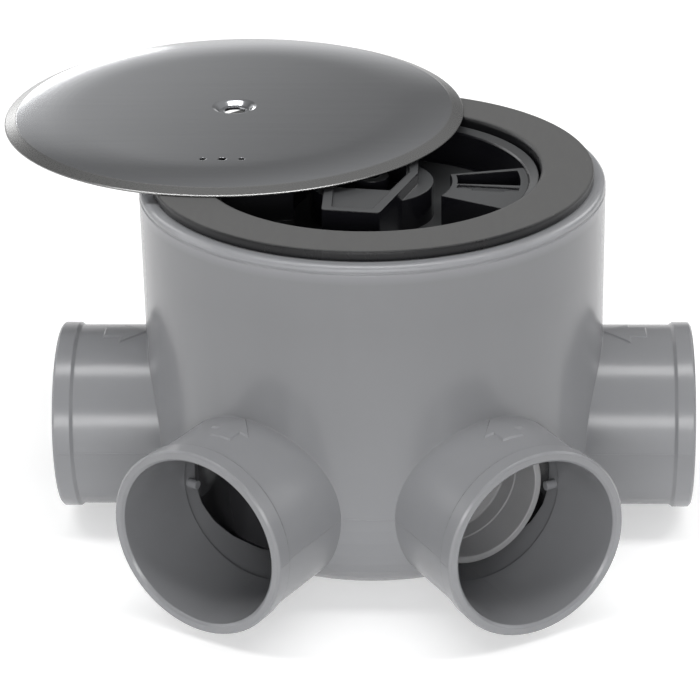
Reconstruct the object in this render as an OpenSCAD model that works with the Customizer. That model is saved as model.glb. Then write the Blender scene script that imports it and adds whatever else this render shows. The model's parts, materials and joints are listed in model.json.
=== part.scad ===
// Gully trap: grey PVC pot with five pipe inlets and one larger outlet round
// its foot, a black screwed collar ring with a turning cleaning cap in it, an
// inner siphon sleeve with a cleaning plug, and a loose pressed steel cover.
// Millimetres. +Z is up. Origin: middle of the pot's foot, on the pot axis.
// The first inlet points along +X; the other ports follow every 60 degrees.

/* [Pot] */
// outside radius of the pot
pot_r = 55; // [50:0.5:60]
// wall thickness of the pot below the neck
pot_wall = 3; // [2.4:0.1:4]
// wall thickness of the neck that takes the collar
neck_wall = 5; // [4.5:0.1:5.5]
// height of the neck, from its shelf to the lip
neck_depth = 26.5; // [24:0.5:29]
// radius of the flat foot
foot_r = 33; // [30:0.5:36]
// outside rounding of the top lip
lip_round = 1.3; // [0.8:0.1:1.6]

/* [Ports] */
// bore radius of an inlet socket, for pipe of 40 mm
inlet_bore = 20.1; // [20.05:0.05:20.3]
// bore radius of the outlet socket, for pipe of 50 mm
outlet_bore = 25.15; // [25.05:0.05:25.4]
// wall thickness of the sockets
socket_wall = 1.9; // [1.6:0.1:2.4]
// length of the sockets outside the pot
socket_len = 21.6; // [19:0.2:27]
// height of the sockets above the foot
port_lift = 3; // [2.4:0.2:6]
// how far the band at each mouth stands out
band_rise = 0.6; // [0.4:0.1:0.9]
// length of the band at each mouth
band_len = 4.6; // [3:0.2:7]
// chamfer inside each mouth
mouth_chamfer = 0.6; // [0.4:0.1:1]

/* [Siphon] */
// room between the neck and the inner sleeve
sleeve_gap = 5.8; // [4.6:0.2:8]
// wall thickness of the inner sleeve
sleeve_wall = 2; // [1.6:0.1:3]
// height of the shelf under the sleeve above the outlet's bore
shelf_over = 5.8; // [5.6:0.2:9]
// outside radius of the cleaning plug
plug_r = 17; // [15:0.5:17.5]
// wall thickness of the cleaning plug
plug_wall = 1.75; // [1.2:0.05:2.5]
// depth of the cleaning plug's cup
plug_depth = 13; // [11:0.5:15]

/* [Collar] */
// how far the collar flange stands out past the neck's bore
flange_over = 2.2; // [1.9:0.1:3.4]
// height of the collar's top above the lip
collar_stand = 2.5; // [2:0.1:5]
// width of the collar's flat top
top_width = 12.4; // [11.6:0.1:13]
// rounding between the collar top and its opening
collar_round = 1; // [0.4:0.1:1.2]
// room between the thread on the skirt and the neck
thread_gap = 0.4; // [0.3:0.05:0.6]
// height of the skirt's lower edge above the sleeve's flange
skirt_over = 2.8; // [1:0.1:8]

/* [Cap] */
// resting angle of the cap about the pot axis
cap_angle = -9; // [-60:1:60]
// how far the cap rim lies below the collar top
rim_down = 2.3; // [1.5:0.1:3]
// fall of the cap rim towards the middle
rim_fall = 0.8; // [0.4:0.1:1.4]
// width of the cap rim
rim_w = 2.7; // [2.5:0.1:3.5]
// how far the fan shaped grips lie below the collar top
fan_down = 3.8; // [3.4:0.1:5]
// half angle that each grip spans
fan_half = 22.5; // [18:0.5:25]
// how far the cap floor lies below the collar top
floor_down = 11.9; // [10:0.1:13]
// radius of the raised middle of the cap
disc_r = 14.5; // [13:0.1:16]
// how far the handle top lies below the collar top
handle_down = 1; // [0.6:0.1:2]
// half width of the handle at its ends
handle_end = 6.7; // [5:0.1:8]
// half width of the handle at its widest
handle_mid = 11; // [10:0.1:12]
// half length of the handle
handle_len = 26.2; // [22:0.2:28]
// wall left round the handle's hollow top
handle_wall = 2; // [1.6:0.1:2.6]
// half length of the deep pocket in the handle
pocket_len = 10.5; // [8:0.5:14]

/* [Cover plate] */
// radius of the cover plate
lid_r = 56.75; // [55:0.25:60]
// height of the cover plate
lid_h = 1.9; // [1.7:0.1:2.6]
// thickness of its pressed sheet
sheet_t = 0.8; // [0.6:0.1:1]
// width of the sloping edge of the cover plate
edge_w = 2.9; // [2.5:0.1:4]
// fall of the dished margin inside that edge
dish = 0.35; // [0.2:0.05:0.5]
// radius of the hole in the middle of the cover plate
hole_r = 2.75; // [2:0.05:3.2]
// radius of the dimple round that hole
dimple_r = 5.45; // [5:0.05:6.5]
// radius of the two outer small drain holes
dot_r = 0.8; // [0.6:0.05:1]
// spacing of the small drain holes
dot_step = 4.6; // [4:0.1:6]
// distance of the small holes from the plate's middle
dot_y = 36.7; // [30:0.1:42]
// how far inside the collar's edge the plate's middle rests
lid_in = 1.35; // [1.2:0.05:6]
// direction of the plate's middle from the pot axis
lid_turn = 134; // [45:1:315]

/* [Hidden] */
E = 0.01;
in_r = pot_r - pot_wall;
neck_r = pot_r - neck_wall;
bowl_r = pot_r - foot_r;                 // rounding between foot and wall
bowl_in = bowl_r - pot_wall;
neck_ease = 0.5;
// ports
inlet_out = inlet_bore + socket_wall;
outlet_out = outlet_bore + socket_wall;
inlet_z = port_lift + inlet_out;
outlet_z = port_lift + outlet_out;
mouth_d = pot_r + socket_len;
port_root = foot_r + 1;                  // where the sockets start in the bowl
bore_from = foot_r + 4;
seat_d = in_r + 0.4;                     // inner end of the inlets' pipe seats
relief = 0.4;                            // step behind those seats
stop_d = sqrt(pow(pot_r - 0.7, 2) - pow(inlet_bore, 2));
stop_r = 1.1;
stop_tip = 2.2;                          // how far the pipe stops stand out
outlet_open = outlet_bore - 3.2;         // opening behind the outlet's pipe stop
outlet_stop = pot_r - 1;
// siphon
shelf_z = outlet_z + outlet_bore + shelf_over;
lip_z = shelf_z + neck_depth;
sleeve_r = neck_r - sleeve_gap;
sleeve_in = sleeve_r - sleeve_wall;
shelf_t = 3;
shelf_in = sleeve_r + 2.3;
flange_t = 2.2;
seat_gap = 0.5;                          // between the sleeve and the bowl
sleeve_bot = bowl_r - sqrt(pow(bowl_in - seat_gap, 2) - pow(sleeve_r - foot_r, 2));
sill_z = outlet_z + 8.8;
plug_fit = 0.05;
plug_mouth = stop_d - 0.2;
// collar
collar_r = neck_r + flange_over;
collar_z = lip_z + collar_stand;
collar_bore = collar_r - top_width;
skirt_r = neck_r - thread_gap;
skirt_low = shelf_z + flange_t + skirt_over;
flange_bot = lip_z + 0.1;
gasket_t = 1;
skirt_t = 2.6;
ring_t = 2.6;
// cap and its bayonet
cap_r = collar_bore - 0.3;
cap_low = cap_r - 1.3;
rim_in = cap_r - rim_w;
rim_z = collar_z - rim_down;
fan_z = collar_z - fan_down;
floor_z = collar_z - floor_down;
handle_z = collar_z - handle_down;
ledge_z = rim_z - 5.4;                   // top of the collar's inner ledge
ledge_t = 2.4;
run = 0.3;                               // clearance round the turning cap
shoulder_z = ledge_z + 0.25;
lug_t = 2.2;
lug_z = ledge_z - ledge_t - run;         // top of the cap's lugs
lug_half = 14;
ledge_half = 57 - lug_half;
groove_z = rim_z - 2.6;                  // middle of the cap's gasket groove
gasket_r = 0.77;
// cover plate
dish_from = lid_r - edge_w - 14;         // where the dished margin starts
edge_z = lid_h - 1.4;                    // top of the plate's outer edge
lid_pos = collar_r - lid_in;

inlets = [0, -60, -120, 180, 60];
outlet_a = 120;

function arc(cx, cz, r, a0, a1, n) =
    [for (i = [0:n]) let (a = a0 + (a1 - a0) * i / n)
        [cx + r * cos(a), cz + r * sin(a)]];

// corners of a polygon eased to radius r
function eased(p, r, n = 4) =
    [for (i = [0:len(p) - 1])
        let (b = p[i], a = p[(i + len(p) - 1) % len(p)], c = p[(i + 1) % len(p)],
             u = (a - b) / norm(a - b), v = (c - b) / norm(c - b),
             w = acos(u * v), m = b + (u + v) / norm(u + v) * r / sin(w / 2),
             s = b + u * r / tan(w / 2) - m, e = b + v * r / tan(w / 2) - m, t = 180 - w)
        for (k = [0:n]) m + (s * sin((1 - k / n) * t) + e * sin(k / n * t)) / sin(t)];

// a solid cylinder lying along the port at angle a, from distance d0 to d1
module port_cyl(a, z, r1, r2, d0, d1, fn = 60) {
    rotate([0, 0, a]) translate([d0, 0, z]) rotate([0, 90, 0])
        cylinder(r1 = r1, r2 = r2, h = d1 - d0, $fn = fn);
}

// outside of one socket: tube, band at the mouth with eased edges
module socket_out(a, z, ro) {
    b0 = mouth_d - band_len;
    rotate([0, 0, a]) translate([0, 0, z]) rotate([0, 90, 0])
        rotate_extrude($fn = 60)
            polygon([[0, port_root], [ro, port_root], [ro, b0 - 0.4], [ro + band_rise, b0 + 0.4],
                     [ro + band_rise, mouth_d - 0.5], [ro + band_rise - 0.5, mouth_d],
                     [0, mouth_d]]);
}

// bore of one socket with the chamfer at its mouth
module socket_bore(a, z, rb, d0) {
    port_cyl(a, z, rb, rb, d0, mouth_d + 1);
    port_cyl(a, z, rb, rb + mouth_chamfer + 0.4, mouth_d - mouth_chamfer, mouth_d + 0.4);
}

// ---------------------------------------------------------------- pot
module pot_outer() {
    rotate_extrude($fn = 96)
        polygon(concat([[0, 0], [foot_r, 0]],
            arc(foot_r, bowl_r, bowl_r, -90, 0, 10),
            // the fine witness line under the lip
            [[pot_r, lip_z - 2.1], [pot_r - 0.25, lip_z - 1.9], [pot_r - 0.25, lip_z - 1.6],
             [pot_r, lip_z - 1.4]],
            arc(pot_r - lip_round, lip_z - lip_round, lip_round, 0, 90, 4),
            [[0, lip_z]]));
}
module pot_inner() {
    rotate_extrude($fn = 80)
        polygon(concat([[0, pot_wall], [foot_r, pot_wall]],
            arc(foot_r, bowl_r, bowl_in, -90, 0, 6),
            [[in_r, shelf_z - shelf_t - 2], [shelf_in, shelf_z - shelf_t],
             [shelf_in, shelf_z], [neck_r, shelf_z],
             [neck_r, lip_z - neck_ease], [neck_r + neck_ease + E, lip_z + E],
             [0, lip_z + E]]));
}
module pot() color([0.56, 0.56, 0.57]) {
    difference() {
        union() {
            pot_outer();
            for (a = inlets) socket_out(a, inlet_z, inlet_out);
            socket_out(outlet_a, outlet_z, outlet_out);
        }
        pot_inner();
        for (a = inlets) {
            socket_bore(a, inlet_z, inlet_bore, seat_d - 1);
            port_cyl(a, inlet_z, inlet_bore + relief, inlet_bore + relief, bore_from, seat_d, 40);
        }
        socket_bore(outlet_a, outlet_z, outlet_bore, outlet_stop);
        port_cyl(outlet_a, outlet_z, outlet_open, outlet_open, bore_from, pot_r + 2, 48);
    }
    // two small pipe stops in each inlet
    for (a = inlets, s = [-1, 1])
        rotate([0, 0, a])
            translate([stop_d, s * (inlet_bore + relief + 0.5), inlet_z - 1.7])
                rotate([s * 90, 0, 0])
                    cylinder(r = stop_r, h = relief + 0.5 + stop_tip, $fn = 16);
}

// ------------------------------------------------------ siphon sleeve
// profile of the rib that shuts the outlet chamber off from the inlets
function rib_profile() = concat(
    [[sleeve_r - 0.6, sleeve_bot + 0.4]],
    arc(foot_r, bowl_r, bowl_in - seat_gap,
        -acos((sleeve_r + 0.4 - foot_r) / (bowl_in - seat_gap)), 0, 8),
    [[in_r - seat_gap, shelf_z - shelf_t - 2 - seat_gap],
     [shelf_in - seat_gap, shelf_z - shelf_t - seat_gap],
     [sleeve_r - 0.6, shelf_z - shelf_t - seat_gap]]);
module siphon_sleeve() color([0.06, 0.06, 0.07]) difference() {
    union() {
        rotate_extrude($fn = 96)
            polygon([[sleeve_in, sleeve_bot], [sleeve_r, sleeve_bot],
                     [sleeve_r, shelf_z], [neck_r - 0.4, shelf_z],
                     [neck_r - 0.4, shelf_z + flange_t], [sleeve_in, shelf_z + flange_t]]);
        for (s = [-1, 1]) rotate([0, 0, outlet_a + s * 33 - 1])
            rotate_extrude(angle = 2, $fn = 96) polygon(rib_profile());
    }
    // water slots in the lower edge, kept clear of the outlet side
    for (a = [0, 60, 180, 270]) rotate([0, 0, a])
        translate([sleeve_in - 8, -7, sleeve_bot - 1]) cube([sleeve_wall + 12, 14, 6.5]);
    // overflow window into the outlet chamber
    sector(sleeve_in - 1, sleeve_r + 1, outlet_a - 18, outlet_a + 18, sill_z, sill_z + 8);
    // hole for the cleaning plug
    port_cyl(-60, inlet_z, plug_r + plug_fit, plug_r + plug_fit, sleeve_in - 12, pot_r);
}

// ------------------------------------------------------ cleaning plug
module cleaning_plug() color([0.7, 0.71, 0.72])
    rotate([0, 0, -60]) translate([0, 0, inlet_z]) rotate([0, 90, 0])
        rotate_extrude($fn = 72) {
            b = plug_mouth - plug_depth;
            i = plug_r - plug_wall;
            polygon([[0, b - 2], [plug_r - 1.2, b - 2], [plug_r - 0.2, b - 1],
                     [plug_r - 0.2, sleeve_in - 3], [plug_r, sleeve_in - 2.8],
                     [plug_r, plug_mouth - 0.3], [plug_r - 0.3, plug_mouth],
                     [i + 0.2, plug_mouth], [i, plug_mouth - 0.2],
                     [i, b + 4.5], [i - 0.25, b + 4.3], [i - 0.25, b + 0.3],
                     [i - 0.55, b], [0, b]]);
        }

// ------------------------------------------------------------- collar
module collar() color([0.1, 0.1, 0.11]) {
    rotate_extrude($fn = 96)
        polygon(concat(
            [[collar_bore, lug_z - lug_t - 1], [collar_bore + ring_t, lug_z - lug_t - 1],
             [collar_bore + ring_t, collar_z - 3],
             [skirt_r - skirt_t, collar_z - 3], [skirt_r - skirt_t, skirt_low + 0.6],
             [skirt_r - 0.6, skirt_low],
             [skirt_r, skirt_low + 0.6], [skirt_r, flange_bot - 0.3],
             // seat of the gasket under the flange
             [neck_r + 0.3, lip_z + gasket_t], [neck_r + 1.7, lip_z + gasket_t],
             [neck_r + 1.7, flange_bot], [collar_r - 0.3, flange_bot],
             [collar_r, flange_bot + 0.3], [collar_r, collar_z - 0.3],
             [collar_r - 0.3, collar_z]],
            arc(collar_bore + collar_round, collar_z - collar_round, collar_round, 90, 180, 4)));
    // ribs between the skirt and the inner ring
    for (a = [0:60:300]) rotate([0, 0, a])
        translate([collar_bore + ring_t - 0.3, -0.9, lug_z - lug_t])
            cube([skirt_r - skirt_t - collar_bore - ring_t + 0.6, 1.8,
                  collar_z - 3 + 0.2 - lug_z + lug_t]);
    // three lengths of ledge, with ways between them for the cap's lugs
    for (a = [0:120:240])
        sector(cap_low + run, collar_bore + ring_t / 2, cap_angle + a - ledge_half,
               cap_angle + a + ledge_half, ledge_z - ledge_t, ledge_z);
}

module collar_gasket() color([0.03, 0.03, 0.03])
    rotate_extrude($fn = 96)
        polygon([[neck_r + 0.5, lip_z], [neck_r + 1.6, lip_z],
                 [neck_r + 1.6, lip_z + gasket_t], [neck_r + 0.5, lip_z + gasket_t]]);

// ---------------------------------------------------------------- cap
handle_plan = [[-handle_end, -handle_len], [handle_end, -handle_len],
               [handle_mid, 0], [handle_end, handle_len],
               [-handle_end, handle_len], [-handle_mid, 0]];
module handle_area(inset, r) {
    polygon(eased([for (p = handle_plan)
        [abs(p[0]) == handle_mid ? sign(p[0]) * (handle_mid - inset)
                                 : sign(p[0]) * (handle_end - inset),
         p[1] == 0 ? 0 : sign(p[1]) * (handle_len - inset)]], r));
}
module sector(r0, r1, a0, a1, z0, z1) {
    translate([0, 0, z0]) rotate([0, 0, a0])
        rotate_extrude(angle = a1 - a0, $fn = 96)
            polygon([[r0, 0], [r1, 0], [r1, z1 - z0], [r0, z1 - z0]]);
}
// raised grip in the shape of a fan, with its pocket and its step
module fan() difference() {
    sector(18.9, rim_in + 0.6, 1.7 - fan_half, fan_half, floor_z - 0.5, fan_z);
    sector(20.2, rim_in - 1.8, 4, fan_half - 2.2, floor_z + 1, fan_z + 1);
    translate([20.4, -1.2, fan_z - 0.7]) cube([rim_in - 22.2, 2.2, 2]);
    translate([24.2, -2.3, fan_z - 0.7]) cube([rim_in - 29.4, 1.3, 2]);
}
module cap() color([0.08, 0.08, 0.09]) rotate([0, 0, cap_angle]) {
    difference() {
        union() {
            rotate_extrude($fn = 96)
                polygon([[0, floor_z - 2.2], [cap_low - 0.5, floor_z - 2.2],
                         [cap_low, floor_z - 1.7], [cap_low, shoulder_z],
                         [cap_r, shoulder_z], [cap_r, groove_z - 1], [cap_low - 0.1, groove_z - 1],
                         [cap_low - 0.1, groove_z + 1], [cap_r, groove_z + 1],
                         [cap_r, rim_z - 0.4], [cap_r - 0.3, rim_z],
                         [rim_in + 0.4, rim_z - rim_fall], [rim_in, rim_z - rim_fall - 0.4],
                         [rim_in, floor_z + 0.6], [rim_in - 0.6, floor_z], [0, floor_z]]);
            translate([0, 0, floor_z - 1]) cylinder(r = disc_r, h = fan_z - floor_z + 1, $fn = 72);
            translate([0, 0, floor_z - 1]) linear_extrude(handle_z - floor_z + 1)
                handle_area(0, 0.8);
            fan();
            rotate([0, 0, 180]) fan();
            for (a = [0:120:240])
                sector(cap_low - 0.6, cap_r, a - lug_half, a + lug_half, lug_z - lug_t, lug_z);
        }
        // shallow top of the handle and the deep pocket in its middle
        translate([0, 0, handle_z - 0.7]) linear_extrude(2) handle_area(handle_wall, 0.5);
        translate([0, 0, handle_z - 7]) linear_extrude(8)
            intersection() {
                handle_area(handle_wall + 0.8, 0.5);
                square([4 * handle_mid, 2 * pocket_len], center = true);
            }
    }
    // screw boss in the middle of the handle
    translate([0, 0, handle_z - 8]) difference() {
        cylinder(r = 4, h = 6.6, $fn = 48);
        translate([0, 0, 2.6]) cylinder(r = 1.7, h = 5, $fn = 24);
    }
}

module cap_gasket() color([0.03, 0.03, 0.03])
    rotate_extrude($fn = 96)
        translate([cap_low - 0.07 + gasket_r, groove_z]) circle(r = gasket_r, $fn = 24);

// -------------------------------------------------------- cover plate
// profile of the pressed sheet: flat middle, dished margin, turned-down edge
dish_r = ((lid_r - edge_w - dish_from) * (lid_r - edge_w - dish_from) + dish * dish) / (2 * dish);
function dish_z(r) = dish_r - sqrt(pow(dish_r, 2) - pow(r - dish_from, 2));
module cover_plate() color([0.75, 0.75, 0.74])
    rotate([0, 0, lid_turn]) translate([lid_pos, 0, collar_z]) rotate([0, 0, -lid_turn])
        difference() {
            rotate_extrude($fn = 120) {
                rim = lid_r - edge_w;
                polygon(concat(
                    // underside
                    [[0, 0], [dimple_r - 1.3, 0], [dimple_r + 0.4, lid_h - sheet_t],
                     [dish_from, lid_h - sheet_t]],
                    [for (i = [1:4]) let (r = dish_from + (rim - 0.4 - dish_from) * i / 4)
                        [r, lid_h - sheet_t - dish_z(r)]],
                    [[lid_r - 1.3, 0], [lid_r - 0.15, 0], [lid_r, 0.15]],
                    // top
                    [[lid_r, edge_z - 0.15], [lid_r - 0.2, edge_z + 0.02],
                     [rim + 0.25, lid_h - dish - 0.12]],
                    [for (i = [8:-1:1]) let (r = dish_from + (rim - dish_from) * i / 8)
                        [r, lid_h - dish_z(r)]],
                    [[dish_from, lid_h], [dimple_r, lid_h], [dimple_r - 0.7, lid_h - 0.2],
                     [dimple_r - 1.7, sheet_t], [0, sheet_t]]));
            }
            translate([0, 0, -1]) cylinder(r = hole_r, h = 4, $fn = 40);
            for (i = [-1:1])
                translate([i * dot_step, -dot_y, -1])
                    cylinder(r = i == 0 ? dot_r + 0.2 : dot_r, h = 5, $fn = 28);
        }

pot();
siphon_sleeve();
cleaning_plug();
collar();
collar_gasket();
cap();
cap_gasket();
cover_plate();
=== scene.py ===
import bpy, bmesh, json, math
from mathutils import Matrix, Quaternion, Vector


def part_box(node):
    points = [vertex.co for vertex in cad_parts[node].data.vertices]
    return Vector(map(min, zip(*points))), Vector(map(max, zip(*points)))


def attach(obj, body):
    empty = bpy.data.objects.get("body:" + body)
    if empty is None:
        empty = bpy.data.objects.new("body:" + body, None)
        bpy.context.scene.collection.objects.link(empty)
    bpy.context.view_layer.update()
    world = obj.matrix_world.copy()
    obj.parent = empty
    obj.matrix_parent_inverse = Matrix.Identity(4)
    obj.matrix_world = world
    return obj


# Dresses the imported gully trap: materials for its CAD nodes, the raised flow arrows,
# the mould parting line and the collar's thread, and a pale studio with the camera
# at the photograph's angle. Lengths are in metres, in the frame of the CAD model.

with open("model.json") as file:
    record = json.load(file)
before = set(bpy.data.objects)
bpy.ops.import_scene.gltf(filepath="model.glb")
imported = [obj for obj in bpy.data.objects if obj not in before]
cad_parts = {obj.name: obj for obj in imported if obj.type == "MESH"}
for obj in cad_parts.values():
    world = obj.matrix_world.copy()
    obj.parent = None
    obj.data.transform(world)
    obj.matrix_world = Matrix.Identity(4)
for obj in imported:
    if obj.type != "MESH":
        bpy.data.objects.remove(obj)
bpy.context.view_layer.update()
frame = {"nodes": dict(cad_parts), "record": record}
nodes = frame["nodes"]
scene = bpy.context.scene
scene.view_settings.view_transform = "Standard"
MM = 0.001
MICRON = 0.000001

# ------------------------------------------------------------------ camera
CAMERA_POS = Vector((23.6, -599.9, 319.65)) * MM
CAMERA_AIM = Vector((0.0, 0.0, 42.24)) * MM
CAMERA_ROLL = math.radians(-0.905)
FOCAL_LENGTH = 140.0
SENSOR_WIDTH = 36.0
SHIFT_X = -0.0355


def make_camera():
    data = bpy.data.cameras.new("camera")
    data.lens = FOCAL_LENGTH
    data.sensor_width = SENSOR_WIDTH
    data.shift_x = SHIFT_X
    data.clip_start = 0.05
    data.clip_end = 20.0
    cam = bpy.data.objects.new("camera", data)
    scene.collection.objects.link(cam)
    forward = (CAMERA_AIM - CAMERA_POS).normalized()
    right = forward.cross(Vector((0, 0, 1))).normalized()
    up = right.cross(forward)
    cos_roll, sin_roll = math.cos(CAMERA_ROLL), math.sin(CAMERA_ROLL)
    right, up = right * cos_roll + up * sin_roll, up * cos_roll - right * sin_roll
    place = Matrix((right, up, -forward)).transposed().to_4x4()
    place.translation = CAMERA_POS
    cam.matrix_world = place
    scene.camera = cam


make_camera()


# -------------------------------------------------------------- node trees
class Tree:
    """A node tree with short helpers; numbers and sockets can both be operands."""

    def __init__(self, tree, coordinates):
        self.t = tree
        self.co = self.node("ShaderNodeTexCoord").outputs[coordinates]

    def node(self, kind, **settings):
        n = self.t.nodes.new(kind)
        for key, value in settings.items():
            setattr(n, key, value)
        return n

    def link(self, a, b):
        self.t.links.new(a, b)

    def math(self, op, a, b=None):
        n = self.node("ShaderNodeMath", operation=op)
        for i, value in enumerate((a, b)):
            if value is None:
                continue
            if isinstance(value, (int, float)):
                n.inputs[i].default_value = value
            else:
                self.link(value, n.inputs[i])
        return n.outputs[0]

    def remap(self, src, from_lo, from_hi, to_lo, to_hi):
        """Map a range to another, clamped at both ends."""
        n = self.node("ShaderNodeMapRange")
        for i, value in enumerate((from_lo, from_hi, to_lo, to_hi), start=1):
            n.inputs[i].default_value = value
        self.link(src, n.inputs[0])
        return n.outputs[0]

    def axis(self, name, src=None):
        n = self.node("ShaderNodeSeparateXYZ")
        self.link(src or self.co, n.inputs[0])
        return n.outputs[name]

    def seen(self, low, high):
        """A strength: high for camera, glossy and transmission rays, low for the rest."""
        path = self.node("ShaderNodeLightPath")
        direct = path.outputs["Is Camera Ray"]
        for kind in ("Is Glossy Ray", "Is Transmission Ray"):
            direct = self.math("MAXIMUM", direct, path.outputs[kind])
        return self.remap(direct, 0.0, 1.0, low, high)


class Mat(Tree):
    """A principled material with helpers for procedural detail."""

    def __init__(self, name):
        self.m = bpy.data.materials.new(name)
        self.m.use_nodes = True
        super().__init__(self.m.node_tree, "Object")
        self.p = self.t.nodes["Principled BSDF"]

    def stretch(self, scale, rot=(0, 0, 0)):
        n = self.node("ShaderNodeMapping")
        n.inputs["Scale"].default_value = scale
        n.inputs["Rotation"].default_value = rot
        self.link(self.co, n.inputs["Vector"])
        return n.outputs["Vector"]

    def noise(self, scale, detail=3.0, rough=0.5, vec=None, dist=0.0):
        n = self.node("ShaderNodeTexNoise")
        n.inputs["Scale"].default_value = scale
        n.inputs["Detail"].default_value = detail
        n.inputs["Roughness"].default_value = rough
        n.inputs["Distortion"].default_value = dist
        self.link(vec or self.co, n.inputs["Vector"])
        return n.outputs["Fac"]

    def specks(self, scale, size):
        """1 at scattered points, falling to 0 at the size, in cells."""
        n = self.node("ShaderNodeTexVoronoi", feature="F1")
        n.inputs["Scale"].default_value = scale
        self.link(self.co, n.inputs["Vector"])
        return self.remap(n.outputs["Distance"], 0.0, size, 1.0, 0.0)

    def span(self, noise, lo, hi):
        """Bring the range that most of a noise lies in to lo and hi."""
        return self.remap(noise, 0.3, 0.7, lo, hi)

    def blend(self, a, weight_a, b, weight_b):
        return self.math("ADD", self.math("MULTIPLY", a, weight_a),
                         self.math("MULTIPLY", b, weight_b))

    def mix(self, fac, a, b):
        """Colour mix; a and b are sockets or colours."""
        n = self.node("ShaderNodeMix", data_type="RGBA")
        self.link(fac, n.inputs[0])
        for i, value in ((6, a), (7, b)):
            if isinstance(value, tuple):
                n.inputs[i].default_value = (*value, 1.0)
            else:
                self.link(value, n.inputs[i])
        return n.outputs[2]

    def bump(self, height, dist, strength, normal=None):
        n = self.node("ShaderNodeBump")
        n.inputs["Strength"].default_value = strength
        n.inputs["Distance"].default_value = dist
        self.link(height, n.inputs["Height"])
        if normal is not None:
            self.link(normal, n.inputs["Normal"])
        return n.outputs["Normal"]

    def upward(self, normal):
        """1 on faces that look up, 0 on the sides."""
        return self.remap(self.axis("Z", normal), 0.75, 0.99, 0.0, 1.0)

    def distance(self, centre):
        """Distance from a vertical axis."""
        x = self.math("SUBTRACT", self.axis("X"), centre[0])
        y = self.math("SUBTRACT", self.axis("Y"), centre[1])
        return self.math("SQRT", self.math("ADD", self.math("MULTIPLY", x, x),
                                           self.math("MULTIPLY", y, y)))

    def soft_edge(self, radius):
        n = self.node("ShaderNodeBevel", samples=6)
        n.inputs["Radius"].default_value = radius
        return n.outputs["Normal"]

    def set(self, **inputs):
        for key, value in inputs.items():
            socket = self.p.inputs[key.replace("_", " ")]
            if isinstance(value, (int, float)):
                socket.default_value = value
            elif isinstance(value, tuple):
                socket.default_value = (*value, 1.0)
            else:
                self.link(value, socket)
        return self.m


# --------------------------------------------------------------- materials
POT_DARK, POT_LIGHT = (0.276, 0.280, 0.292), (0.298, 0.302, 0.315)
# painted shade for the upper wall, and how much of it is mixed in
POT_TOP_SHADE, POT_TOP_SHADE_SHARE = (0.12, 0.12, 0.122), 0.42
POT_FLECK, POT_FLECK_SHARE = (0.33, 0.33, 0.33), 0.2
WALL_LOW, WALL_HIGH = 0.020, 0.072
LIP_LOW, LIP_HIGH = 0.083, 0.086


def pot_plastic(name, edge):
    """Satin grey PVC with a cloudy tone, faint flow marks and a fine grain."""
    k = Mat(name)
    cloud = k.noise(22, detail=2)
    grain = k.noise(900, detail=4, rough=0.6)
    flow = k.noise(60, detail=3, rough=0.55, vec=k.stretch((1, 1, 0.25)), dist=0.6)
    base = k.mix(k.span(k.blend(cloud, 0.6, flow, 0.4), 0, 1), POT_DARK, POT_LIGHT)
    # painted shade: the wall greys a little towards the top; it stops short of the lip, which
    # stays lighter as a painted highlight
    grey = k.math("MULTIPLY", k.remap(k.axis("Z"), WALL_LOW, WALL_HIGH, 0.0, POT_TOP_SHADE_SHARE),
                  k.remap(k.axis("Z"), LIP_LOW, LIP_HIGH, 1.0, 0.0))
    base = k.mix(grey, base, POT_TOP_SHADE)
    base = k.mix(k.math("MULTIPLY", k.specks(110, 0.02), POT_FLECK_SHARE), base, POT_FLECK)
    rough = k.span(k.blend(flow, 0.5, grain, 0.5), 0.19, 0.25)
    normal = k.bump(flow, 20 * MICRON, 0.08, k.soft_edge(edge))
    normal = k.bump(grain, 4 * MICRON, 0.3, normal)
    return k.set(Base_Color=base, Roughness=rough, Normal=normal, IOR=1.5)


DUST = (0.5, 0.5, 0.48)
TOP_MATTNESS = 0.22


def black_plastic(name, dark, light, rough, dust=0.0, top=None, shine=0.5, edge=0.3 * MM):
    """Black moulding: smeared gloss, specks of dust, and duller upper faces lightened by a
    painted sheen.
    """
    k = Mat(name)
    soft = k.soft_edge(edge)
    cloud = k.noise(45)
    grain = k.noise(1400, detail=4, rough=0.6)
    smear = k.noise(120, detail=4, rough=0.6, vec=k.stretch((1, 0.3, 1), (0, 0, 0.6)), dist=0.8)
    base = k.mix(k.span(cloud, 0, 1), dark, light)
    gloss = k.span(smear, *rough)
    if top:
        # painted sheen: faces that look up take the lighter top colour, and are also duller
        facing_up = k.upward(soft)
        base = k.mix(facing_up, base, top)
        gloss = k.math("ADD", gloss, k.math("MULTIPLY", facing_up, TOP_MATTNESS))
    if dust:
        base = k.mix(k.math("MULTIPLY", k.specks(150, 0.028), dust), base, DUST)
    normal = k.bump(smear, 20 * MICRON, 0.2, soft)
    normal = k.bump(grain, 6 * MICRON, 0.5, normal)
    return k.set(Base_Color=base, Roughness=gloss, Normal=normal, IOR=1.5,
                 Specular_IOR_Level=shine)


def light_plastic():
    """The cleaning plug's paler, duller grey."""
    k = Mat("light_grey_pvc")
    cloud = k.noise(80)
    grain = k.noise(1500, rough=0.6)
    base = k.mix(k.span(cloud, 0, 1), (0.36, 0.36, 0.366), (0.42, 0.42, 0.427))
    return k.set(Base_Color=base, Roughness=k.span(cloud, 0.4, 0.55),
                 Normal=k.bump(grain, 10 * MICRON, 0.6, k.soft_edge(0.3 * MM)), IOR=1.5)


def rubber():
    k = Mat("black_rubber")
    grain = k.noise(2200, detail=4, rough=0.65)
    bloom = k.noise(160)
    base = k.mix(k.remap(bloom, 0.35, 0.75, 0, 1), (0.012, 0.012, 0.012), (0.03, 0.03, 0.031))
    return k.set(Base_Color=base, Roughness=k.span(bloom, 0.6, 0.8),
                 Normal=k.bump(grain, 20 * MICRON, 0.8), IOR=1.45)


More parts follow.
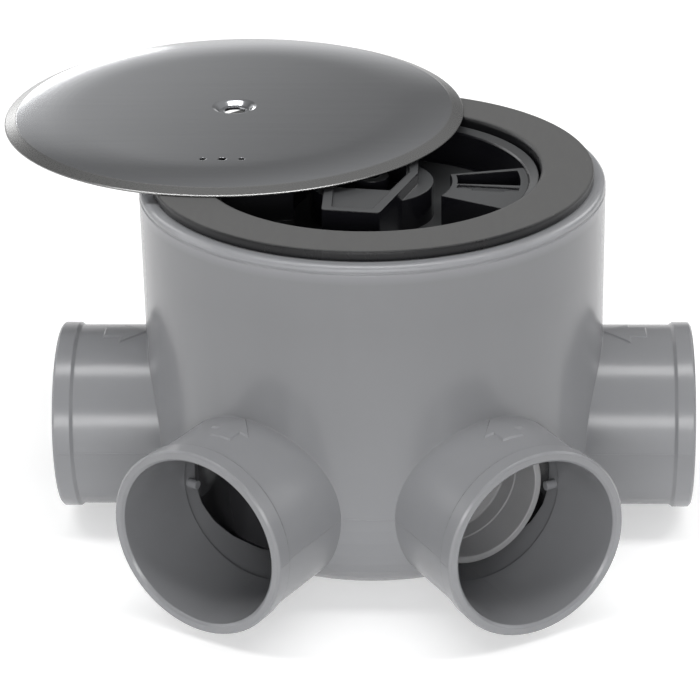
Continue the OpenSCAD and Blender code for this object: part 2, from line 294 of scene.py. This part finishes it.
PLATE_DARK, PLATE_LIGHT = (0.412, 0.420, 0.436), (0.428, 0.436, 0.451)
PLATE_MARGIN_SHADE = (0.27, 0.27, 0.268)
MARGIN_WIDTH = 2.9 * MM
MARGIN_BLUR = 0.2 * MM
DOME_WIDTH = 19 * MM
DOME_DROP = 0.72 * MM


def steel():
    """Satin stainless sheet, finely brushed along X, with a doming towards its margin."""
    k = Mat("satin_stainless")
    fine = k.noise(1.0, rough=0.6, vec=k.stretch((240, 7000, 7000)))
    streak = k.noise(1.0, detail=2, vec=k.stretch((18, 900, 900)))
    cloud = k.noise(14, detail=2)
    base = k.mix(k.span(streak, 0, 1), PLATE_DARK, PLATE_LIGHT)
    rough = k.math("ADD", k.span(fine, 0.13, 0.17), k.span(cloud, -0.015, 0.02))
    # the pressed sheet domes a little before its margin, which is duller and darkened by painted
    # shade
    low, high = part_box("cover_plate")
    inner = (high[0] - low[0]) / 2 - MARGIN_WIDTH
    r = k.distance([(low[i] + high[i]) / 2 for i in (0, 1)])
    margin = k.remap(r, inner - MARGIN_BLUR, inner + MARGIN_BLUR, 0.0, 1.0)
    # painted shade: the margin's colour is darker than the rest of the sheet
    base = k.mix(margin, base, PLATE_MARGIN_SHADE)
    rough = k.math("ADD", rough, k.math("MULTIPLY", margin, 0.12))
    dome = k.math("POWER", k.remap(r, inner - DOME_WIDTH, inner, 0.0, 1.0), 3.0)
    normal = k.bump(dome, -DOME_DROP, 1.0, k.soft_edge(0.25 * MM))
    normal = k.bump(fine, 0.4 * MICRON, 0.3, normal)
    normal = k.bump(k.specks(95, 0.010), 40 * MICRON, 0.5, normal)
    return k.set(Base_Color=base, Metallic=1.0, Roughness=rough, Normal=normal)


M_POT = pot_plastic("grey_pvc", 0.4 * MM)
M_MARK = pot_plastic("grey_pvc_marks", 0.08 * MM)
M_SLEEVE = black_plastic("sleeve_black", (0.026, 0.026, 0.028), (0.034, 0.034, 0.037),
                         rough=(0.16, 0.26))
M_PLUG = light_plastic()
# the collar's and the cap's top colours are a painted sheen on their upper faces
M_COLLAR = black_plastic("collar_black", (0.006, 0.006, 0.007), (0.009, 0.009, 0.010),
                         rough=(0.24, 0.34), dust=0.4, top=(0.098, 0.098, 0.097),
                         shine=0.3, edge=0.9 * MM)
M_CAP = black_plastic("cap_black", (0.006, 0.006, 0.008), (0.010, 0.010, 0.012),
                      rough=(0.14, 0.22), dust=0.1, top=(0.062, 0.064, 0.066),
                      shine=0.45, edge=0.4 * MM)
M_RUBBER = rubber()
M_STEEL = steel()

for node_name, material in (("pot", M_POT), ("siphon_sleeve", M_SLEEVE),
                            ("cleaning_plug", M_PLUG), ("collar", M_COLLAR),
                            ("collar_gasket", M_RUBBER), ("cap", M_CAP),
                            ("cap_gasket", M_RUBBER), ("cover_plate", M_STEEL)):
    slots = nodes[node_name].data.materials
    slots.clear()
    slots.append(material)


# ------------------------------------------------------------ added pieces
def mesh_piece(name, verts, faces, material, body, smooth=False):
    me = bpy.data.meshes.new(name)
    me.from_pydata([tuple(v) for v in verts], [], faces)
    bm = bmesh.new()
    bm.from_mesh(me)
    bmesh.ops.recalc_face_normals(bm, faces=bm.faces)
    bm.to_mesh(me)
    bm.free()
    for p in me.polygons:
        p.use_smooth = smooth
    o = bpy.data.objects.new(name, me)
    scene.collection.objects.link(o)
    me.materials.append(material)
    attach(o, body)


# sizes that the pieces share with the CAD model
MOUNTS = {mount["name"]: mount for mount in frame["record"]["mounts"]}
INLET = MOUNTS["inlet_right"]
OUTLET = MOUNTS["outlet"]
INLETS = {"right": 0, "front_right": -60, "front_left": -120, "left": 180, "back_right": 60}
OUTLET_AZIMUTH = 120
SOCKET_WALL = 1.9 * MM
CHAMFER = 0.6 * MM
POT_R = 55 * MM
INLET_R = INLET["dims"]["r_mm"] * MM + SOCKET_WALL
OUTLET_R = OUTLET["dims"]["r_mm"] * MM + SOCKET_WALL
MOUTH = INLET["pos_m"][0] + INLET["dims"]["length_mm"] / 2 * MM + CHAMFER
INLET_Z = INLET["pos_m"][2]
OUTLET_Z = OUTLET["pos_m"][2]

# flow arrows, on the tops of the sockets
ARROW_HEAD = 6.6 * MM
ARROW_SHAFT_HALF = 2.85 * MM
ARROW_HEAD_HALF = 5.3 * MM
ARROW_TIP_HALF = 0.12 * MM
ARROW_SINK = 0.08 * MM
ARROW_RISE = 0.34 * MM
ARROW_SLOPE = 0.42 * MM     # how far the sides lean in, from the foot to the top
TIP_DRAW = 2.2              # the top's tip and wings draw in by this many slopes
WING_DRAW = 1.3
ARROW_STEPS = 10            # rows along the shaft, and again along the head
ARROW_COLUMNS = 8


def turned(azimuth):
    return Matrix.Rotation(math.radians(azimuth), 3, "Z")


def arrow(name, azimuth, z, r, tip, tail):
    """Raised arrow on a socket of radius r; tip and tail are distances from the pot's axis."""
    way = 1 if tip > tail else -1
    head = tip - way * ARROW_HEAD
    turn = turned(azimuth)
    verts, faces = [], []
    for radius, inset in ((r - ARROW_SINK, 0.0), (r + ARROW_RISE, ARROW_SLOPE)):
        step = way * inset
        rows = []
        for i in range(ARROW_STEPS + 1):
            f = i / ARROW_STEPS
            rows.append((tail + step + (head - tail) * f, ARROW_SHAFT_HALF - inset))
        for i in range(ARROW_STEPS + 1):
            f = i / ARROW_STEPS
            rows.append((head + step + (tip - head - TIP_DRAW * step) * f,
                         (ARROW_HEAD_HALF - WING_DRAW * inset) * (1 - f) + ARROW_TIP_HALF * f))
        for d, half_width in rows:
            for c in range(ARROW_COLUMNS + 1):
                t = half_width * (2 * c / ARROW_COLUMNS - 1) / r
                verts.append(turn @ Vector((d, -radius * math.sin(t), z + radius * math.cos(t))))
    row_count, wide = len(rows), ARROW_COLUMNS + 1
    top = row_count * wide      # the top's corners come after the foot's
    for i in range(row_count - 1):
        for c in range(ARROW_COLUMNS):
            a, b = i * wide + c, i * wide + c + 1
            e, g = (i + 1) * wide + c + 1, (i + 1) * wide + c
            faces.append((a, b, e, g))
            faces.append((top + g, top + e, top + b, top + a))
        for c in (0, ARROW_COLUMNS):
            a, g = i * wide + c, (i + 1) * wide + c
            faces.append((a, g, top + g, top + a))
    for i in (0, row_count - 1):
        for c in range(ARROW_COLUMNS):
            a, b = i * wide + c, i * wide + c + 1
            faces.append((a, b, top + b, top + a))
    mesh_piece(name, verts, faces, M_MARK, "pot_body")


# the inlets' arrows point in, the outlet's arrow points out
for key, azimuth in INLETS.items():
    arrow("flow_arrow_" + key, azimuth, INLET_Z, INLET_R, MOUTH - 21.4 * MM, MOUTH - 10.8 * MM)
arrow("flow_arrow_outlet", OUTLET_AZIMUTH, OUTLET_Z, OUTLET_R, MOUTH - 8.0 * MM,
      MOUTH - 18.6 * MM)

# mould parting line, at the height of the inlets' axes
PARTING_HALF = 0.2 * MM
PARTING_RISE = 0.08 * MM
PARTING_SINK = 0.4          # depth of its foot under the surface, in half widths
ARC_STEPS = 16
# the socket's outside along the line: distance from the pot's axis and radius, in mm
SOCKET_SIDE = ((50.6, 22.0), (60, 22.0), (71.6, 22.0), (72.5, 22.6), (75.9, 22.6))


def bead(name, paths, half, height, material, body):
    """A fine raised line of triangular section along each path of (point, outward) pairs."""
    verts, faces = [], []
    for path in paths:
        start = len(verts)
        last = len(path) - 1
        for i, (p, out) in enumerate(path):
            before = path[max(i - 1, 0)][0]
            after = path[min(i + 1, last)][0]
            side = (after - before).normalized().cross(out).normalized()
            foot = out * half * PARTING_SINK
            verts += [p - side * half - foot, p + side * half - foot, p + out * height]
        for i in range(last):
            q = start + 3 * i
            for u, v in ((0, 1), (1, 2), (2, 0)):
                faces.append((q + u, q + v, q + 3 + v, q + 3 + u))
        faces.append((start, start + 1, start + 2))
        q = start + 3 * last
        faces.append((q, q + 1, q + 2))
    mesh_piece(name, verts, faces, material, body)


def parting_paths():
    """Arcs of the pot's wall between its ports, then both sides of each inlet."""
    paths = []
    half_in = math.degrees(math.asin(INLET_R / POT_R))
    half_out = math.degrees(math.asin(
        math.sqrt(OUTLET_R ** 2 - (OUTLET_Z - INLET_Z) ** 2) / POT_R))
    ports = sorted([(azimuth, half_in) for azimuth in INLETS.values()]
                   + [(OUTLET_AZIMUTH, half_out)])
    for i, (azimuth, half) in enumerate(ports):
        following, half_following = ports[(i + 1) % len(ports)]
        following = following if following > azimuth else following + 360
        lo, hi = azimuth + half, following - half_following
        path = []
        for j in range(ARC_STEPS + 1):
            t = math.radians(lo + (hi - lo) * j / ARC_STEPS)
            out = Vector((math.cos(t), math.sin(t), 0))
            path.append((out * POT_R + Vector((0, 0, INLET_Z)), out))
        paths.append(path)
    for azimuth in INLETS.values():
        turn = turned(azimuth)
        for side in (-1, 1):
            paths.append([(turn @ Vector((d * MM, side * r * MM, INLET_Z)),
                           turn @ Vector((0, side, 0))) for d, r in SOCKET_SIDE])
    return paths


bead("parting_line", parting_paths(), PARTING_HALF, PARTING_RISE,
     M_MARK, "pot_body")

# the collar's thread, seen when the collar is unscrewed
THREAD_R = 49.6 * MM
THREAD_CREST = 0.33 * MM
THREAD_PITCH = 4.0 * MM
THREAD_BOTTOM, THREAD_TOP = 68.2 * MM, 85.4 * MM
THREAD_HALF_ROOT, THREAD_HALF_CREST = 0.9 * MM, 0.35 * MM
ROOT_SINK = 0.1 * MM
CREST_SINK = 0.05 * MM      # where the crest has run out
RUN_OUT = 14                # the crest runs out over one part of this many, at both ends
STEPS_PER_TURN = 72


def collar_thread():
    length = THREAD_TOP - THREAD_BOTTOM
    turns = length / THREAD_PITCH
    n = int(turns * STEPS_PER_TURN)
    verts, faces = [], []
    root = THREAD_R - ROOT_SINK
    for i in range(n + 1):
        f = i / n
        t = 2 * math.pi * turns * f
        z = THREAD_BOTTOM + length * f
        fade = min(1.0, f * RUN_OUT, (1 - f) * RUN_OUT)
        crest = THREAD_R - CREST_SINK + (THREAD_CREST + CREST_SINK) * fade
        for radius, dz in ((root, -THREAD_HALF_ROOT), (crest, -THREAD_HALF_CREST),
                           (crest, THREAD_HALF_CREST), (root, THREAD_HALF_ROOT)):
            verts.append((radius * math.cos(t), radius * math.sin(t), z + dz))
    for i in range(n):
        q = 4 * i
        for u in range(4):
            v = (u + 1) % 4
            faces.append((q + u, q + v, q + 4 + v, q + 4 + u))
    faces.append((0, 1, 2, 3))
    q = 4 * n
    faces.append((q, q + 1, q + 2, q + 3))
    mesh_piece("collar_thread", verts, faces, M_COLLAR, "collar_body",
               smooth=True)


collar_thread()

# ---------------------------------------------------------------- the stage
FLOOR_SIZE = 12
FLOOR_COLOUR = (0.80, 0.80, 0.80)
FLOOR_GLOW = 0.45           # the floor's own light, as the camera and the gloss see it
FLOOR_FILL = 0.08           # the same, as it lights the object
GLOW_NEAR, GLOW_FAR = 0.5, 2.6
GLOW_FAR_GAIN = 2.0


def floor_material():
    k = Mat("floor")
    k.set(Base_Color=FLOOR_COLOUR, Roughness=0.85, Specular_IOR_Level=0.2)
    # the lamps reach the floor near the object; farther out the glow makes up for them
    reach = k.node("ShaderNodeVectorMath", operation="LENGTH")
    k.link(k.co, reach.inputs[0])
    gain = k.remap(reach.outputs["Value"], GLOW_NEAR, GLOW_FAR, 1.0, GLOW_FAR_GAIN)
    glow = k.node("ShaderNodeEmission")
    glow.inputs["Color"].default_value = (1, 1, 1, 1)
    k.link(k.math("MULTIPLY", k.seen(FLOOR_FILL, FLOOR_GLOW), gain), glow.inputs["Strength"])
    add = k.node("ShaderNodeAddShader")
    k.link(k.p.outputs[0], add.inputs[0])
    k.link(glow.outputs[0], add.inputs[1])
    k.link(add.outputs[0], k.t.nodes["Material Output"].inputs["Surface"])
    return k.m


bpy.ops.mesh.primitive_plane_add(size=FLOOR_SIZE, location=(0, 0, 0))
floor = bpy.context.object
floor.name = "floor"
floor.data.materials.append(floor_material())

WORLD = 1.0                 # strength for the camera and the gloss
AMBIENT = 0.32              # strength of the light on the object
HORIZON_END, HORIZON = 0.05, 1.0
SKY_START, SKY = 0.32, 0.21
ZENITH_START, ZENITH = 0.75, 0.5
LEAN = (-0.2, 0.3, -0.16, 0.24)     # range of the direction's X, and what it adds to Z


def make_world():
    """A studio, white at the horizon and greyer above, a little more so to the right."""
    world = bpy.data.worlds.new("studio")
    scene.world = world
    world.use_nodes = True
    w = Tree(world.node_tree, "Generated")
    background = w.t.nodes["Background"]
    ramp = w.node("ShaderNodeValToRGB")
    stops = ramp.color_ramp.elements
    stops[0].position = HORIZON_END
    stops[0].color = (HORIZON, HORIZON, HORIZON, 1)
    stops[1].position = SKY_START
    stops[1].color = (SKY, SKY, SKY, 1)
    stops.new(ZENITH_START).color = (ZENITH, ZENITH, ZENITH, 1)
    height = w.math("ADD", w.axis("Z"), w.remap(w.axis("X"), *LEAN))
    w.link(height, ramp.inputs[0])
    w.link(ramp.outputs[0], background.inputs["Color"])
    w.link(w.seen(AMBIENT, WORLD), background.inputs["Strength"])


make_world()


def softbox(name, pos, size, power, aim=(0, 0, 0.05), roll=0.0):
    data = bpy.data.lights.new(name, "AREA")
    data.shape = "RECTANGLE"
    data.size, data.size_y = size
    data.energy = power
    o = bpy.data.objects.new(name, data)
    scene.collection.objects.link(o)
    o.location = pos
    facing = (Vector(aim) - Vector(pos)).to_track_quat("-Z", "Y")
    o.rotation_euler = (facing @ Quaternion((0, 0, 1), math.radians(roll))).to_euler()
    o.visible_camera = False
    return o


def receivers(name, state):
    """Light linking that takes the steel plate in or leaves it out."""
    group = bpy.data.collections.new(name)
    group.objects.link(nodes["cover_plate"])
    group.collection_objects[0].light_linking.link_state = state
    return group


OVERHEAD = "top_strip"
LAMPS = [
    # name, place, size, watts
    (OVERHEAD, (0.0, -0.14, 1.05), (1.6, 0.22), 8.0),
    ("front_strip", (0.0, -1.5, 0.48), (1.2, 0.35), 8.6),
    ("bounce", (0.0, -0.75, 0.02), (1.4, 0.6), 1.7),
    ("back_right", (0.95, 0.95, 0.9), (0.7, 0.7), 4.5),
    ("back_left", (-0.95, 0.95, 0.9), (0.7, 0.7), 3.5),
    ("right_side", (1.2, 0.1, 0.6), (0.5, 0.6), 1.5),
    ("left_side", (-1.2, 0.1, 0.6), (0.5, 0.6), 1.5),
]

# The bright sheet mirrors the studio, the overhead strip and one low panel behind;
# flags keep the other lamps off it.
flagged = receivers("all_but_plate", "EXCLUDE")
panel = softbox("plate_panel", (-0.42, 1.21, 0.31), (0.46, 0.14), 0.85,
                aim=(-0.035, 0.037, 0.09), roll=38)
panel.light_linking.receiver_collection = receivers("plate_only", "INCLUDE")
for name, pos, size, power in LAMPS:
    lamp = softbox(name, pos, size, power)
    if name != OVERHEAD:
        lamp.light_linking.receiver_collection = flagged
